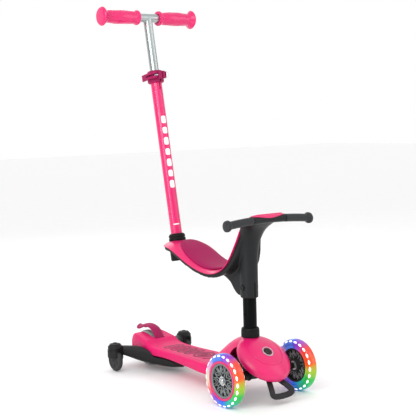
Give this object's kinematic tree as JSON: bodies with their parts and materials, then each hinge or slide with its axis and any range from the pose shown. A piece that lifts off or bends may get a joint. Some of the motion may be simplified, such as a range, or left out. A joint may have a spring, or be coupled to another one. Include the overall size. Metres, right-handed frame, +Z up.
{
  "type": "toddler kick scooter with seat",
  "caption": "Pink and black toddler kick scooter with light-up wheels, a lean-to-steer front truck, a saddle seat, removable side trainer wheels and a parent's push bar.",
  "frame": {"origin": "centre of the bounding box, on the floor under the wheels", "axes": "+Z up; the rider faces -Y; +X is the rider's left"},
  "size_m": [0.278, 0.5801, 0.9134],
  "materials": {
    "clear_tyre": "clear polyurethane",
    "light_ring": "translucent with lights behind it",
    "black_rim": "matt",
    "silver_spokes": "brushed",
    "pink_gloss": "gloss",
    "rear_tyre": "cast polyurethane",
    "rear_rim": "matt",
    "steel": "zinc plated",
    "deck_pink": "satin moulded",
    "deck_black": "satin, finely textured",
    "grip_mat": "moulded mat",
    "magenta": "satin",
    "button_black": "gloss",
    "black_gloss": "gloss",
    "post_black": "gloss powder coat",
    "cushion": "soft",
    "trainer_black": "matt",
    "trainer_tyre": "matt",
    "seat_pad": "soft, finely grained",
    "grip_black": "satin",
    "tube_pink": "gloss powder coat",
    "polished_tube": "polished aluminium",
    "pink_grip": "gloss"
  },
  "bodies": {
    "deck": {"deck": "deck_pink", "deck_grip": "grip_mat", "rear_axle": "steel", "rear_axle_nut": "steel", "brake_pin": "steel", "hood": "pink_gloss", "badge_ring": "steel", "post_collar": "black_gloss", "post": "post_black", "steering_housing": "deck_black", "kingpin": "steel", "steering_cushion": "cushion", "front_loop": "deck_black", "trainer_beam": "trainer_black", "trainer_head_left": "trainer_black", "trainer_head_right": "trainer_black"},
    "lock_button": {"lock_button": "button_black"},
    "brake": {"brake_fender": "magenta"},
    "truck": {"front_truck": "deck_black", "front_axle": "steel", "front_bolt_left": "steel", "front_bolt_right": "steel"},
    "front_wheel_right": {"front_tyre_right": "clear_tyre", "front_light_ring_right": "light_ring", "front_rim_right": "black_rim", "front_spokes_right": "silver_spokes", "front_trim_ring_right": "pink_gloss", "front_bearing_outer_right": "steel", "front_bearing_inner_right": "steel"},
    "front_wheel_left": {"front_tyre_left": "clear_tyre", "front_light_ring_left": "light_ring", "front_rim_left": "black_rim", "front_spokes_left": "silver_spokes", "front_trim_ring_left": "pink_gloss", "front_bearing_outer_left": "steel", "front_bearing_inner_left": "steel"},
    "rear_wheel": {"rear_tyre": "rear_tyre", "rear_rim": "rear_rim", "rear_bearing_right": "steel", "rear_bearing_left": "steel"},
    "trainer_wheel_right": {"trainer_wheel_right": "trainer_tyre"},
    "trainer_wheel_left": {"trainer_wheel_left": "trainer_tyre"},
    "seat": {"seat_frame": "deck_black", "seat_shell": "pink_gloss", "seat_pad": "seat_pad", "seat_grip_left": "grip_black", "seat_grip_right": "grip_black", "seat_bolt": "steel", "seat_nut": "steel", "push_bar_socket": "deck_black"},
    "release_button": {"release_button": "button_black"},
    "push_bar": {"push_bar_tube": "tube_pink", "push_bar_collar": "black_gloss", "height_clamp": "magenta", "clamp_bolt": "steel", "clamp_nut": "steel"},
    "clamp_lever": {"clamp_lever": "magenta"},
    "upper_bar": {"upper_bar": "polished_tube", "bar_grip_right": "pink_grip", "bar_grip_left": "pink_grip"}
  },
  "joints": [
    {"name": "truck_lean", "type": "hinge", "parent": "deck", "child": "truck", "pos_m": [0, -0.218, 0.084], "axis": [0, -0.7071, 0.7071], "range_deg": [-12, 12], "stiffness_Nm_per_rad": 80},
    {"name": "front_wheel_right_spin", "type": "hinge", "parent": "truck", "child": "front_wheel_right", "pos_m": [-0.106, -0.216, 0.06], "axis": [1, 0, 0], "continuous": true},
    {"name": "front_wheel_left_spin", "type": "hinge", "parent": "truck", "child": "front_wheel_left", "pos_m": [0.106, -0.216, 0.06], "axis": [1, 0, 0], "continuous": true},
    {"name": "rear_wheel_spin", "type": "hinge", "parent": "deck", "child": "rear_wheel", "pos_m": [0, 0.239, 0.045], "axis": [1, 0, 0], "continuous": true},
    {"name": "brake_press", "type": "hinge", "parent": "deck", "child": "brake", "pos_m": [0, 0.193, 0.073], "axis": [1, 0, 0], "range_deg": [-3, 0], "stiffness_Nm_per_rad": 6},
    {"name": "lock_button_press", "type": "slide", "parent": "deck", "child": "lock_button", "axis": [0, 0.6157, -0.788], "range_m": [0, 0.003], "stiffness_N_per_m": 1500},
    {"name": "trainer_wheel_right_spin", "type": "hinge", "parent": "deck", "child": "trainer_wheel_right", "pos_m": [-0.108, 0.232, 0.029], "axis": [1, 0, 0], "continuous": true},
    {"name": "trainer_wheel_left_spin", "type": "hinge", "parent": "deck", "child": "trainer_wheel_left", "pos_m": [0.108, 0.232, 0.029], "axis": [1, 0, 0], "continuous": true},
    {"name": "seat_height", "type": "slide", "parent": "deck", "child": "seat", "axis": [0, 0, 1], "range_m": [-0.045, 0]},
    {"name": "push_bar_lift", "type": "slide", "parent": "seat", "child": "push_bar", "axis": [0, 0.1805, 0.9836], "range_m": [0, 0.05]},
    {"name": "release_press", "type": "slide", "parent": "seat", "child": "release_button", "axis": [0, -0.9836, 0.1805], "range_m": [0, 0.003], "stiffness_N_per_m": 1200},
    {"name": "bar_telescope", "type": "slide", "parent": "push_bar", "child": "upper_bar", "axis": [0, 0.1805, 0.9836], "range_m": [-0.11, 0]},
    {"name": "clamp_open", "type": "hinge", "parent": "push_bar", "child": "clamp_lever", "pos_m": [-0.018, 0.1453, 0.7462], "axis": [0, 0.1805, 0.9836], "range_deg": [0, 110]}
  ]
}
